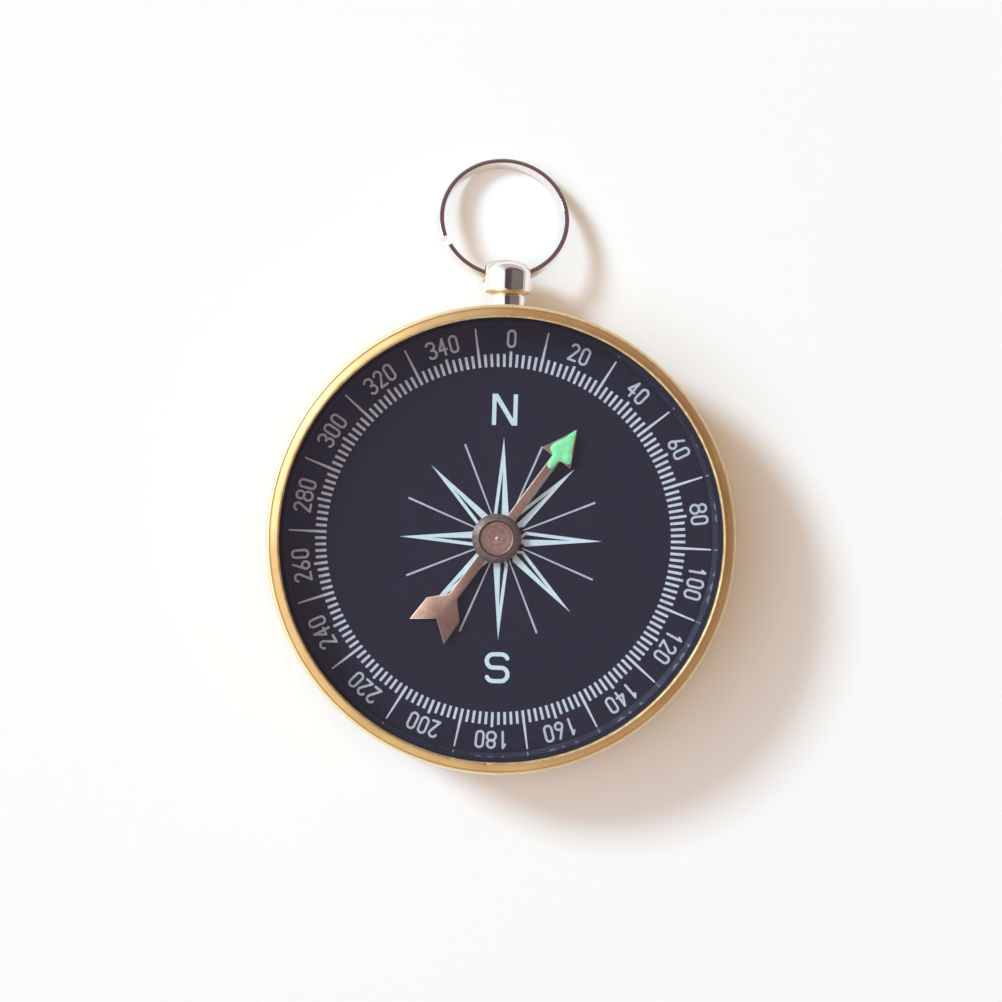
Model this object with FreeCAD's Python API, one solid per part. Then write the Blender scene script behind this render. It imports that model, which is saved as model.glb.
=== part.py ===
import FreeCAD, Part
import math
import os
from FreeCAD import Vector

# A compass keychain lying on its back. Lengths are in millimetres, angles in degrees.
# The origin is the centre of the flat back, +Z runs up out of the dial and +Y runs to the
# neck and its ring. Bearings on the dial run clockwise from +Y, as a compass counts them.

overrun = 1.0

# Case, a turned aluminium cup with a thin upright rim
case_radius = 22.0
case_edge_round = 2.2
case_floor = 1.0
case_wall = 0.9
rim_wall = 0.35
rim_drop = 0.3
rim_round = 0.3

# Bezel ring, which sits inside the rim and holds the crystal down
bezel_fit = 0.03
bezel_skirt = 0.37
bezel_lip = 0.5
bezel_lip_reach = 0.4
bezel_bevel_width = 0.12
bezel_bevel_drop = 0.12
bezel_crown_drop = 0.3
bezel_crown_bulge = 0.05

# Crystal, a flat disc
crystal_fit = 0.05
crystal_thickness = 1.0

# Capsule, a glossy black moulding: a skirt, a web under the dial and a wall round it that
# leans out a little, as a moulded wall must to leave its tool
foam_thickness = 0.3
capsule_fit = 0.05
capsule_wall = 0.75
capsule_wall_lean = 0.12
skirt_height = 4.7
skirt_wall = 1.2
skirt_gap = 0.3
web_thickness = 0.5
wall_rise = 2.4

# Dial plate
dial_fit = 0.05
dial_thickness = 0.3

# Print on the dial: the degree scale, the circle that its ticks start from and the rose were
# printed apart, so they are a little out of centre and out of line with the neck and with
# each other. The start circle's offset is from the scale's centre
ink_thickness = 0.03
scale_offset_x = 0.12
scale_offset_y = -0.085
scale_turn = 0.88
tick_start_offset_x = -0.17
tick_start_offset_y = -0.02
rose_offset_x = 0.08
rose_offset_y = 0.0
rose_turn = -0.33

# Degree scale: a tick every two degrees, a long line at every odd ten, a number at every even
# ten. The margins run inwards, from the dial's edge to the lines and the numerals
tick_step = 2
ten_step = 10
numeral_step = 20
full_turn = 360
tick_length = 1.2
tick_width = 0.25
numbered_tick_extra = 0.25
line_margin = 0.18
long_line_foot_width = 0.24
long_line_tip_width = 0.14

# Numerals round the scale, drawn as strokes
numeral_margin = 0.37
numeral_gap = 0.34
digit_height = 1.73
digit_width = 0.9
digit_stroke = 0.22
digit_pitch = 1.1

# Letters N and S, inside the scale by a margin
letter_margin = 2.66
letter_height = 2.95
letter_width = 2.4
letter_stroke = 0.4

# Rose: eight half-filled spikes with eight fine rays between them, inside the letters by a
# margin and clear of the pivot's bush
spike_count = 8
rose_margin = 1.15
spike_foot_gap = 0.14
spike_foot_length = 0.9
spike_filled_width = 0.66
spike_outline_width = 0.75
spike_line_width = 0.31
spike_gap_foot = 0.45
ray_foot_drop = 0.15
ray_inner_width = 0.13
ray_outer_width = 0.19

# Pivot: a brass bush riveted through dial and web, and a steel pin with a conical point
pivot_offset_x = -0.4
pivot_offset_y = 0.08
pin_radius = 0.25
pin_fit = 0.01
bush_wall = 0.34
bush_fit = 0.02
bush_flange_width = 0.3
bush_flange_thickness = 0.15
bush_rivet_width = 0.25
bush_rivet_thickness = 0.2
pin_point_length = 0.5

# Needle: a flat arrow with a turned cap on its middle and a cup jewel inside the cap
needle_bearing = 34.8
needle_gap = 0.6
needle_thickness = 0.2
needle_margin = 3.53
needle_hub_step = 0.13
head_length = 3.38
head_width = 3.3
shaft_width = 0.92
tail_shortfall = 1.83
tail_length = 4.15
tail_end_width = 4.04
tail_corner_width = 3.86
tail_corner_setback = 2.6
tail_notch_depth = 1.55
cap_radius = 2.33
cap_slope_width = 0.58
cap_height = 0.35
cap_edge_height = 0.07
cap_dish_depth = 0.12
cap_dish_wall = 0.12
cap_sleeve_wall = 0.27
cap_sleeve_drop = 0.15
cap_fit = 0.02
jewel_radius = 0.6
jewel_fit = 0.01
jewel_height = 0.5
jewel_rim = 0.18
jewel_recess_depth = 0.35
pivot_gap = 0.02

# Luminous paint over most of the arrowhead, with a tongue down the shaft. The shares run
# across from the centre line in half head widths, and along from the back of the head
lume_thickness = 0.06
lume_outline_shares = [
    (0.0, 0.93),
    (0.27, 0.66),
    (0.55, 0.37),
    (0.82, 0.08),
    (0.55, 0.02),
    (0.25, -0.04),
    (0.19, -0.22),
    (0.02, -0.36),
    (-0.18, -0.31),
    (-0.25, -0.12),
    (-0.38, 0.03),
    (-0.62, 0.1),
    (-0.62, 0.3),
    (-0.3, 0.63),
]

# Neck: a collar against the case, a domed head with a cross-hole, and a threaded tail that a
# nut draws up inside the case
seat_depth = 0.12
collar_step = 0.525
collar_length = 1.32
collar_chamfer = 0.15
head_radius = 2.325
head_foot = 0.88
head_foot_round = 0.5
head_crown = 0.74
head_dome_radius = 2.6
tail_radius = 0.7
tail_fit = 0.03
tail_end_beyond_nut = 0.1
nut_flats = 2.6
nut_thickness = 1.2
nut_headroom = 0.1
nut_fit = 0.01

# Jump ring: one turn of flat wire, cut at eight o'clock, its left end standing a little open
ring_radius = 6.0
ring_wire_thickness = 0.45
ring_wire_width = 1.3
ring_wire_round = 0.08
ring_hole_gap = 0.1
ring_side_shift = -0.35
ring_cut_start = 201.0
ring_cut_end = 210.0
ring_open_start = 150.0
ring_open_radius = 6.2

# Heights, stacked from the back up
foam_z = case_floor
skirt_z = foam_z + foam_thickness
web_z = skirt_z + skirt_height
dial_z = web_z + web_thickness
dial_top_z = dial_z + dial_thickness
seat_z = dial_top_z + wall_rise
crystal_top_z = seat_z + crystal_thickness
bezel_top_z = crystal_top_z + bezel_lip
rim_top_z = bezel_top_z - rim_drop
blade_z = dial_top_z + needle_gap
blade_top_z = blade_z + needle_thickness
cap_sleeve_z = blade_z - cap_sleeve_drop
cap_top_z = blade_top_z + cap_height
jewel_top_z = cap_sleeve_z + jewel_height
jewel_recess_z = cap_sleeve_z + jewel_recess_depth
pin_tip_z = jewel_recess_z - pivot_gap

# Radii, stepped in from the case's side
case_bore_radius = case_radius - case_wall
rim_bore_radius = case_radius - rim_wall
bezel_radius = rim_bore_radius - bezel_fit
bezel_bore_radius = bezel_radius - bezel_skirt
crystal_radius = bezel_bore_radius - crystal_fit
capsule_radius = case_bore_radius - capsule_fit
capsule_bore_radius = capsule_radius - capsule_wall
dial_radius = capsule_bore_radius - dial_fit
bezel_opening_radius = bezel_bore_radius - bezel_lip_reach

# Radii round the pivot, stepped out from the pin and in from the cap
bush_bore_radius = pin_radius + pin_fit
bush_radius = bush_bore_radius + bush_wall
bush_flange_radius = bush_radius + bush_flange_width
bush_rivet_radius = bush_radius + bush_rivet_width
jewel_recess_radius = jewel_radius - jewel_rim
cap_bore_radius = jewel_radius + jewel_fit
cap_sleeve_radius = cap_bore_radius + cap_sleeve_wall
cap_top_radius = cap_radius - cap_slope_width
needle_hub_radius = cap_radius - needle_hub_step

# Radii of the print and reaches of the needle, stepped in from the dial's edge
long_line_reach = dial_radius - line_margin
numeral_radius = dial_radius - numeral_margin - digit_height / 2
numbered_tick_end = numeral_radius - digit_height / 2 - numeral_gap
tick_start_radius = numbered_tick_end - numbered_tick_extra - tick_length
letter_radius = tick_start_radius - letter_margin - letter_height / 2
rose_tip_radius = letter_radius - letter_height / 2 - rose_margin
spike_foot_radius = bush_flange_radius + math.hypot(pivot_offset_x, pivot_offset_y) + spike_foot_gap
spike_shoulder_radius = spike_foot_radius + spike_foot_length
ray_start_radius = spike_shoulder_radius - ray_foot_drop
needle_tip_reach = tick_start_radius - needle_margin
tail_reach = needle_tip_reach - tail_shortfall

# Distances along the neck from the case's axis
neck_z = web_z - nut_headroom - nut_flats / 2
nut_corner_radius = nut_flats / 2 / math.cos(math.radians(30))
nut_face_y = math.sqrt(case_bore_radius ** 2 - nut_corner_radius ** 2) - nut_fit
nut_end_y = nut_face_y - nut_thickness
tail_end_y = nut_end_y - tail_end_beyond_nut
skirt_radius = tail_end_y - skirt_gap
skirt_bore_radius = skirt_radius - skirt_wall
collar_radius = head_radius - collar_step
collar_y = case_radius - seat_depth
head_y = collar_y + collar_length

# The ring's wire curves as it runs through the straight cross-hole, so the hole has room for
# that curve, and its axis lies in the middle of it
hole_reach = head_radius + abs(ring_side_shift)
wire_sag = ring_radius - math.sqrt(ring_radius ** 2 - hole_reach ** 2)
wire_corner = math.hypot(ring_wire_width / 2, (ring_wire_thickness + wire_sag) / 2)
ring_hole_radius = wire_corner + ring_hole_gap
ring_hole_y = head_y + head_foot + ring_hole_radius
head_top_y = ring_hole_y + ring_hole_radius + head_crown
ring_arm = ring_radius - wire_sag / 2

# The ring slopes down until its far edge rests on the surface that the back lies on
ring_far_reach = ring_arm + ring_radius + ring_wire_thickness / 2
ring_edge_reach = math.hypot(ring_far_reach, ring_wire_width / 2)
ring_slope = math.degrees(
    math.asin(neck_z / ring_edge_reach) - math.atan2(ring_wire_width / 2, ring_far_reach)
)

ORIGIN = Vector(0, 0, 0)
ALONG_X = Vector(1, 0, 0)
ALONG_Z = Vector(0, 0, 1)


# Shared shapes
def polar(radius, angle):
    """A point in the XY plane at an angle counted anticlockwise from +X."""
    return Vector(radius * math.cos(math.radians(angle)), radius * math.sin(math.radians(angle)), 0)


def arc_edge(centre, radius, start, end):
    """An arc in the XY plane from one angle to another."""
    middle = (start + end) / 2
    points = [centre + polar(radius, angle) for angle in (start, middle, end)]
    return Part.Arc(*points).toShape()


def line_edge(start, end):
    return Part.makeLine(start, end)


def corner_arc(start, corner, end):
    """A quarter round that leaves start and reaches end, tangent to both sides of the corner."""
    centre = start + end - corner
    middle = centre + (corner - centre) / math.sqrt(2)
    return Part.Arc(start, middle, end).toShape()


def crown_edge(edge_radius, edge_z, middle_z):
    """The half section of a dome or a dish: an arc from the axis out to its edge."""
    rise = middle_z - edge_z
    sphere = (edge_radius ** 2 + rise ** 2) / (2 * rise)
    half_angle = math.asin(edge_radius / abs(sphere)) / 2
    halfway_z = middle_z - sphere * (1 - math.cos(half_angle))
    halfway = Vector(abs(sphere) * math.sin(half_angle), 0, halfway_z)
    return Part.Arc(Vector(0, 0, middle_z), halfway, Vector(edge_radius, 0, edge_z)).toShape()


def turned(edges):
    """A solid of revolution about Z from a closed outline in the XZ plane."""
    face = Part.Face(Part.Wire(edges))
    return face.revolve(ORIGIN, ALONG_Z, full_turn)


def turned_points(points):
    """A solid of revolution about Z from (radius, height) corners."""
    corners = [Vector(radius, 0, height) for radius, height in points]
    return turned(Part.makePolygon(corners + corners[:1]).Edges)


def tube(outer_radius, inner_radius, low, high):
    return turned_points(
        [(inner_radius, low), (outer_radius, low), (outer_radius, high), (inner_radius, high)]
    )


def disc(radius, low, high):
    return Part.makeCylinder(radius, high - low, Vector(0, 0, low))


def plate(points, low, thickness):
    """A flat plate from (x, y) corners."""
    corners = [Vector(x, y, low) for x, y in points]
    return Part.Face(Part.makePolygon(corners + corners[:1])).extrude(Vector(0, 0, thickness))


def write(node, shape):
    shape.exportStep(os.path.join("parts", node + ".step"))


# Case and what closes it
def case_body():
    side_foot = Vector(case_radius, 0, case_edge_round)
    back_edge = Vector(case_radius - case_edge_round, 0, 0)
    rim_outside = Vector(case_radius, 0, rim_top_z - rim_round)
    rim_crest = Vector(case_radius - rim_round, 0, rim_top_z)
    inside = [
        rim_crest,
        Vector(rim_bore_radius, 0, rim_top_z),
        Vector(rim_bore_radius, 0, seat_z),
        Vector(case_bore_radius, 0, seat_z),
        Vector(case_bore_radius, 0, case_floor),
        Vector(0, 0, case_floor),
        ORIGIN,
        back_edge,
    ]
    outline = [
        corner_arc(back_edge, Vector(case_radius, 0, 0), side_foot),
        line_edge(side_foot, rim_outside),
        corner_arc(rim_outside, Vector(case_radius, 0, rim_top_z), rim_crest),
    ]
    outline += Part.makePolygon(inside).Edges
    seat = neck_piece(disc(head_radius, collar_y, case_radius + overrun))
    hole = neck_piece(disc(tail_radius + tail_fit, case_bore_radius - overrun, case_radius))
    return turned(outline).cut(seat).cut(hole)


def bezel_ring():
    crest = Vector(bezel_opening_radius + bezel_bevel_width, 0, bezel_top_z)
    shoulder = Vector(bezel_radius, 0, bezel_top_z - bezel_crown_drop)
    crown_middle = (crest + shoulder) / 2 + Vector(0, 0, bezel_crown_bulge)
    rest = [
        crest,
        Vector(bezel_opening_radius, 0, bezel_top_z - bezel_bevel_drop),
        Vector(bezel_opening_radius, 0, crystal_top_z),
        Vector(bezel_bore_radius, 0, crystal_top_z),
        Vector(bezel_bore_radius, 0, seat_z),
        Vector(bezel_radius, 0, seat_z),
        shoulder,
    ]
    outline = Part.makePolygon(rest).Edges
    outline.append(Part.Arc(shoulder, crown_middle, crest).toShape())
    return turned(outline)


def crystal():
    return disc(crystal_radius, seat_z, crystal_top_z)


# Capsule and dial
def capsule():
    body = turned_points(
        [
            (skirt_bore_radius, skirt_z),
            (skirt_radius, skirt_z),
            (skirt_radius, web_z),
            (capsule_radius, web_z),
            (capsule_radius, seat_z),
            (capsule_bore_radius + capsule_wall_lean, seat_z),
            (capsule_bore_radius, dial_z),
            (0, dial_z),
            (0, web_z),
            (skirt_bore_radius, web_z),
        ]
    )
    return body.cut(at_pivot(disc(bush_radius + bush_fit, web_z - overrun, dial_z + overrun)))


def foam_ring():
    return tube(skirt_radius, skirt_bore_radius, foam_z, skirt_z)


def dial_plate():
    hole = at_pivot(disc(bush_radius + bush_fit, dial_z - overrun, dial_top_z + overrun))
    return disc(dial_radius, dial_z, dial_top_z).cut(hole)


# Degree scale
def on_scale(shape, bearing):
    """Turn a mark drawn along +Y to its bearing on the degree scale."""
    shape.rotate(ORIGIN, ALONG_Z, -(bearing + scale_turn))
    shape.translate(Vector(scale_offset_x, scale_offset_y, 0))
    return shape


def mark_start(bearing):
    """How far from the scale's centre the marks of a bearing start."""
    along = math.radians(bearing + scale_turn)
    aside = tick_start_offset_x * math.sin(along) + tick_start_offset_y * math.cos(along)
    return tick_start_radius + aside


def tick(start, length):
    half = tick_width / 2
    end = tick_start_radius + length
    corners = [(-half, start), (half, start), (half, end), (-half, end)]
    return plate(corners, dial_top_z, ink_thickness)


def degree_ticks():
    ticks = []
    for bearing in range(0, full_turn, tick_step):
        start = mark_start(bearing)
        if bearing % numeral_step == 0:
            ticks.append(on_scale(tick(start, tick_length + numbered_tick_extra), bearing))
        elif bearing % ten_step != 0:
            ticks.append(on_scale(tick(start, tick_length), bearing))
    return Part.makeCompound(ticks)


def long_line(start):
    half = tick_width / 2
    foot = long_line_foot_width / 2
    tip = long_line_tip_width / 2
    shoulder = tick_start_radius + tick_length
    right = [(half, start), (half, shoulder), (foot, shoulder), (tip, long_line_reach)]
    left = [(-x, y) for x, y in reversed(right)]
    return plate(right + left, dial_top_z, ink_thickness)


def ten_degree_lines():
    bearings = range(ten_step, full_turn, numeral_step)
    return Part.makeCompound([on_scale(long_line(mark_start(b)), b) for b in bearings])


# Numerals and letters, drawn as strokes of one width round their centre lines
def stroke(edges, width):
    """An upright print of one stroke, with round ends, or a ring where the line is closed."""
    line = Part.Wire(edges)
    if line.isClosed():
        face = Part.Face([line.makeOffset2D(width / 2), line.makeOffset2D(-width / 2)])
    else:
        face = line.makeOffset2D(width / 2, fill=True)
    face.translate(Vector(0, 0, dial_top_z))
    return face.extrude(Vector(0, 0, ink_thickness))


def straight_stroke(start, end, width):
    """A straight stroke with a square start, which lies in another stroke, and a round end."""
    along = math.degrees(math.atan2(end.y - start.y, end.x - start.x))
    side = polar(width / 2, along + 90)
    outline = [
        line_edge(start - side, end - side),
        arc_edge(end, width / 2, along - 90, along + 90),
        line_edge(end + side, start + side),
        line_edge(start + side, start - side),
    ]
    face = Part.Face(Part.Wire(outline))
    face.translate(Vector(0, 0, dial_top_z))
    return face.extrude(Vector(0, 0, ink_thickness))


def round_stroke(centre, radius, width):
    """A stroke round a full circle."""
    ring = tube(radius + width / 2, radius - width / 2, dial_top_z, dial_top_z + ink_thickness)
    ring.translate(centre)
    return ring


def broken_line(*points):
    return Part.makePolygon([Vector(x, y, 0) for x, y in points]).Edges


half_wide = (digit_width - digit_stroke) / 2
half_high = (digit_height - digit_stroke) / 2


def digit_zero():
    rise = Vector(0, half_high - half_wide, 0)
    across = Vector(half_wide, 0, 0)
    outline = [
        arc_edge(rise, half_wide, 0, 180),
        line_edge(rise - across, -rise - across),
        arc_edge(-rise, half_wide, 180, 360),
        line_edge(across - rise, across + rise),
    ]
    return stroke(outline, digit_stroke)


def digit_one():
    flag_share = 0.6
    flag = (-half_wide * flag_share, half_high * flag_share)
    return stroke(broken_line(flag, (0, half_high), (0, -half_high)), digit_stroke)


def digit_two():
    rise = Vector(0, half_high - half_wide, 0)
    bowl_start = 165
    bowl_end = -40
    base_left = Vector(-half_wide, -half_high, 0)
    base_right = Vector(half_wide, -half_high, 0)
    outline = [
        arc_edge(rise, half_wide, bowl_start, bowl_end),
        line_edge(rise + polar(half_wide, bowl_end), base_left),
        line_edge(base_left, base_right),
    ]
    return stroke(outline, digit_stroke)


def digit_three():
    bowl = half_high / 2
    rise = Vector(0, bowl, 0)
    bowl_start = 150
    outline = [arc_edge(rise, bowl, bowl_start, -90), arc_edge(-rise, bowl, 90, -bowl_start)]
    return stroke(outline, digit_stroke)


def digit_four():
    bar_share = 0.35
    stem_share = 0.4
    bar = -half_high * bar_share
    stem = half_wide * stem_share
    arm = stroke(broken_line((half_wide, bar), (-half_wide, bar), (stem, half_high)), digit_stroke)
    upright = straight_stroke(Vector(stem, half_high, 0), Vector(stem, -half_high, 0), digit_stroke)
    return arm.fuse(upright)


def digit_six():
    bowl_centre = Vector(0, half_wide - half_high, 0)
    leave_angle = 140
    top_share = 0.45
    top = Vector(half_wide * top_share, half_high, 0)
    bowl = round_stroke(bowl_centre, half_wide, digit_stroke)
    return bowl.fuse(straight_stroke(bowl_centre + polar(half_wide, leave_angle), top, digit_stroke))


def digit_eight():
    lower_share = 0.55
    upper_share = 0.48
    lower = half_high * lower_share
    upper = half_high * upper_share
    upper_ring = round_stroke(Vector(0, half_high - upper, 0), upper, digit_stroke)
    return upper_ring.fuse(round_stroke(Vector(0, lower - half_high, 0), lower, digit_stroke))


def degree_numerals():
    shapes = {
        "0": digit_zero(),
        "1": digit_one(),
        "2": digit_two(),
        "3": digit_three(),
        "4": digit_four(),
        "6": digit_six(),
        "8": digit_eight(),
    }
    digits = []
    pitch_angle = math.degrees(digit_pitch / numeral_radius)
    for bearing in range(0, full_turn, numeral_step):
        text = str(bearing)
        for place, character in enumerate(text):
            digit = shapes[character].copy()
            digit.translate(Vector(0, numeral_radius, 0))
            digits.append(on_scale(digit, bearing + (place - (len(text) - 1) / 2) * pitch_angle))
    return Part.makeCompound(digits)


def on_rose(shape, bearing):
    """Turn a mark drawn along +Y to its bearing on the rose."""
    shape.rotate(ORIGIN, ALONG_Z, -(bearing + rose_turn))
    shape.translate(Vector(rose_offset_x, rose_offset_y, 0))
    return shape


def letter_n():
    right = letter_width / 2
    top = letter_height / 2
    inner = right - letter_stroke
    slant = letter_stroke * math.hypot(letter_width, letter_height) / letter_height
    stem = plate([(inner, -top), (right, -top), (right, top), (inner, top)], dial_top_z, ink_thickness)
    other_stem = stem.copy()
    other_stem.translate(Vector(letter_stroke - letter_width, 0, 0))
    diagonal = [(-right, top), (right - slant, -top), (right, -top), (slant - right, top)]
    return stem.fuse([other_stem, plate(diagonal, dial_top_z, ink_thickness)])


def letter_s():
    bowl = (letter_height - letter_stroke) / 4
    straight = Vector((letter_width - letter_stroke) / 2 - bowl, 0, 0)
    rise = Vector(0, bowl, 0)
    mouth = 25
    outline = [
        arc_edge(rise + straight, bowl, mouth, 90),
        line_edge(rise * 2 + straight, rise * 2 - straight),
        arc_edge(rise - straight, bowl, 90, 270),
        line_edge(-straight, straight),
        arc_edge(straight - rise, bowl, 90, -90),
        line_edge(straight - rise * 2, -straight - rise * 2),
        arc_edge(-straight - rise, bowl, -90, mouth - 180),
    ]
    return stroke(outline, letter_stroke)


def cardinal_letters():
    letters = []
    for bearing, letter in ((0, letter_n()), (180, letter_s())):
        letter.translate(Vector(0, letter_radius, 0))
        letters.append(on_rose(letter, bearing))
    return Part.makeCompound(letters)


# Rose
def spike():
    """A long kite, filled on its clockwise side and outlined on the other."""
    kite = [
        (0, rose_tip_radius),
        (spike_filled_width, spike_shoulder_radius),
        (0, spike_foot_radius),
        (-spike_outline_width, spike_shoulder_radius),
    ]
    narrowing = spike_outline_width / (rose_tip_radius - spike_shoulder_radius)
    gap = [
        (0, rose_tip_radius - spike_line_width / narrowing),
        (0, spike_foot_radius + spike_gap_foot),
        (spike_line_width - spike_outline_width, spike_shoulder_radius),
    ]
    return plate(kite, dial_top_z, ink_thickness).cut(plate(gap, dial_top_z, ink_thickness))


def rose_spikes():
    step = full_turn / spike_count
    return Part.makeCompound([on_rose(spike(), step * place) for place in range(spike_count)])


def ray():
    inner = ray_inner_width / 2
    outer = ray_outer_width / 2
    end = Vector(0, rose_tip_radius - outer, 0)
    foot = Vector(0, ray_start_radius, 0)
    edges = [
        line_edge(foot - Vector(inner, 0, 0), foot + Vector(inner, 0, 0)),
        line_edge(foot + Vector(inner, 0, 0), end + Vector(outer, 0, 0)),
        arc_edge(end, outer, 0, 180),
        line_edge(end - Vector(outer, 0, 0), foot - Vector(inner, 0, 0)),
    ]
    face = Part.Face(Part.Wire(edges))
    face.translate(Vector(0, 0, dial_top_z))
    return face.extrude(Vector(0, 0, ink_thickness))


def rose_rays():
    step = full_turn / spike_count
    return Part.makeCompound([on_rose(ray(), step * place + step / 2) for place in range(spike_count)])


# Pivot and needle
def at_pivot(shape):
    shape.translate(Vector(pivot_offset_x, pivot_offset_y, 0))
    return shape


def on_needle(shape):
    """Turn a piece drawn along +Y to the needle's bearing, over the pivot."""
    shape.rotate(ORIGIN, ALONG_Z, -needle_bearing)
    return at_pivot(shape)


def pivot_bush():
    flange_z = dial_top_z + bush_flange_thickness
    rivet_z = web_z - bush_rivet_thickness
    return at_pivot(
        turned_points(
            [
                (bush_bore_radius, rivet_z),
                (bush_rivet_radius, rivet_z),
                (bush_rivet_radius, web_z),
                (bush_radius, web_z),
                (bush_radius, dial_top_z),
                (bush_flange_radius, dial_top_z),
                (bush_flange_radius, flange_z),
                (bush_bore_radius, flange_z),
            ]
        )
    )


def pivot_pin():
    foot_z = web_z - bush_rivet_thickness
    corners = [
        (0, foot_z),
        (pin_radius, foot_z),
        (pin_radius, pin_tip_z - pin_point_length),
        (0, pin_tip_z),
    ]
    return at_pivot(turned_points(corners))


def needle_blade():
    head_back = needle_tip_reach - head_length
    tail_start = tail_length - tail_reach
    tail_corner = tail_corner_setback - tail_reach
    right = [
        (head_width / 2, head_back),
        (shaft_width / 2, head_back),
        (shaft_width / 2, tail_start),
        (tail_corner_width / 2, tail_corner),
        (tail_end_width / 2, -tail_reach),
    ]
    left = [(-x, y) for x, y in reversed(right)]
    outline = [(0, needle_tip_reach)] + right + [(0, tail_notch_depth - tail_reach)] + left
    arrow = plate(outline, blade_z, needle_thickness)
    arrow = arrow.fuse(disc(needle_hub_radius, blade_z, blade_top_z)).removeSplitter()
    hole = disc(cap_sleeve_radius + cap_fit, blade_z - overrun, blade_top_z + overrun)
    return on_needle(arrow.cut(hole))


def needle_cap():
    dish_radius = cap_top_radius - cap_dish_wall
    dish_z = cap_top_z - cap_dish_depth
    shoulder = [
        Vector(0, 0, jewel_top_z),
        Vector(cap_bore_radius, 0, jewel_top_z),
        Vector(cap_bore_radius, 0, cap_sleeve_z),
        Vector(cap_sleeve_radius, 0, cap_sleeve_z),
        Vector(cap_sleeve_radius, 0, blade_top_z),
        Vector(cap_radius, 0, blade_top_z),
        Vector(cap_radius, 0, blade_top_z + cap_edge_height),
        Vector(cap_top_radius, 0, cap_top_z),
        Vector(dish_radius, 0, cap_top_z),
    ]
    outline = [crown_edge(dish_radius, cap_top_z, dish_z)]
    outline += Part.makePolygon(shoulder[::-1] + [Vector(0, 0, dish_z)]).Edges
    return on_needle(turned(outline))


def jewel_cup():
    corners = [
        (jewel_recess_radius, cap_sleeve_z),
        (jewel_radius, cap_sleeve_z),
        (jewel_radius, jewel_top_z),
        (0, jewel_top_z),
        (0, jewel_recess_z),
    ]
    return on_needle(turned_points(corners))


def lume_patch():
    head_back = needle_tip_reach - head_length
    points = [
        Vector(across * head_width / 2, head_back + along * head_length, blade_top_z)
        for across, along in lume_outline_shares
    ]
    edge = Part.BSplineCurve()
    edge.interpolate(points, PeriodicFlag=True)
    return on_needle(Part.Face(Part.Wire(edge.toShape())).extrude(Vector(0, 0, lume_thickness)))


# Neck and ring
def neck_piece(shape):
    """Lay a piece turned about Z along the neck, its heights becoming distances from the case's axis."""
    shape.rotate(ORIGIN, ALONG_X, -90)
    shape.translate(Vector(0, 0, neck_z))
    return shape


def neck_collar():
    bore = tail_radius + tail_fit
    corners = [
        (bore, collar_y),
        (collar_radius, collar_y),
        (collar_radius, head_y - collar_chamfer),
        (collar_radius - collar_chamfer, head_y),
        (bore, head_y),
    ]
    return neck_piece(turned_points(corners))


def pendant_head():
    dome_rise = head_dome_radius - math.sqrt(head_dome_radius ** 2 - head_radius ** 2)
    dome_edge = Vector(head_radius, 0, head_top_y - dome_rise)
    side_foot = Vector(head_radius, 0, head_y + head_foot_round)
    foot = Vector(head_radius - head_foot_round, 0, head_y)
    rest = [
        foot,
        Vector(tail_radius, 0, head_y),
        Vector(tail_radius, 0, tail_end_y),
        Vector(0, 0, tail_end_y),
        Vector(0, 0, head_top_y),
    ]
    outline = [
        crown_edge(head_radius, head_top_y - dome_rise, head_top_y),
        line_edge(dome_edge, side_foot),
        corner_arc(side_foot, Vector(head_radius, 0, head_y), foot),
    ]
    outline += Part.makePolygon(rest).Edges
    hole = Part.makeCylinder(
        ring_hole_radius,
        2 * (head_radius + overrun),
        Vector(-head_radius - overrun, ring_hole_y, neck_z),
        ALONG_X,
    )
    return neck_piece(turned(outline)).cut(hole)


def pendant_nut():
    corner_step = 60
    corners = [polar(nut_corner_radius, corner_step * place) for place in range(6)]
    hexagon = plate([(corner.x, corner.y) for corner in corners], nut_end_y, nut_thickness)
    bore = disc(tail_radius + tail_fit, nut_end_y - overrun, nut_face_y + overrun)
    return neck_piece(hexagon.cut(bore))


def ring_arc(centre, radius, start, end):
    """A stretch of the flat wire, lying in the XY plane with its width along Z."""
    inner = radius - ring_wire_thickness / 2
    outer = radius + ring_wire_thickness / 2
    edges = [
        arc_edge(centre, outer, start, end),
        line_edge(centre + polar(outer, end), centre + polar(inner, end)),
        arc_edge(centre, inner, end, start),
        line_edge(centre + polar(inner, start), centre + polar(outer, start)),
    ]
    face = Part.Face(Part.Wire(edges))
    face.translate(Vector(0, 0, -ring_wire_width / 2))
    return face.extrude(Vector(0, 0, ring_wire_width))


def jump_ring():
    open_centre = polar(ring_radius - ring_open_radius, ring_open_start)
    open_sweep = (ring_cut_start - ring_open_start) * ring_radius / ring_open_radius
    closed_part = ring_arc(ORIGIN, ring_radius, ring_cut_end - full_turn, ring_open_start)
    open_part = ring_arc(open_centre, ring_open_radius, ring_open_start, ring_open_start + open_sweep)
    ring = closed_part.fuse(open_part).removeSplitter()
    long_edges = [edge for edge in ring.Edges if edge.Length > 2 * ring_wire_width]
    ring = ring.makeFillet(ring_wire_round, long_edges)
    ring.translate(Vector(ring_side_shift, ring_arm, 0))
    ring.rotate(ORIGIN, ALONG_X, -ring_slope)
    ring.translate(Vector(0, ring_hole_y, neck_z))
    return ring


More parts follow.
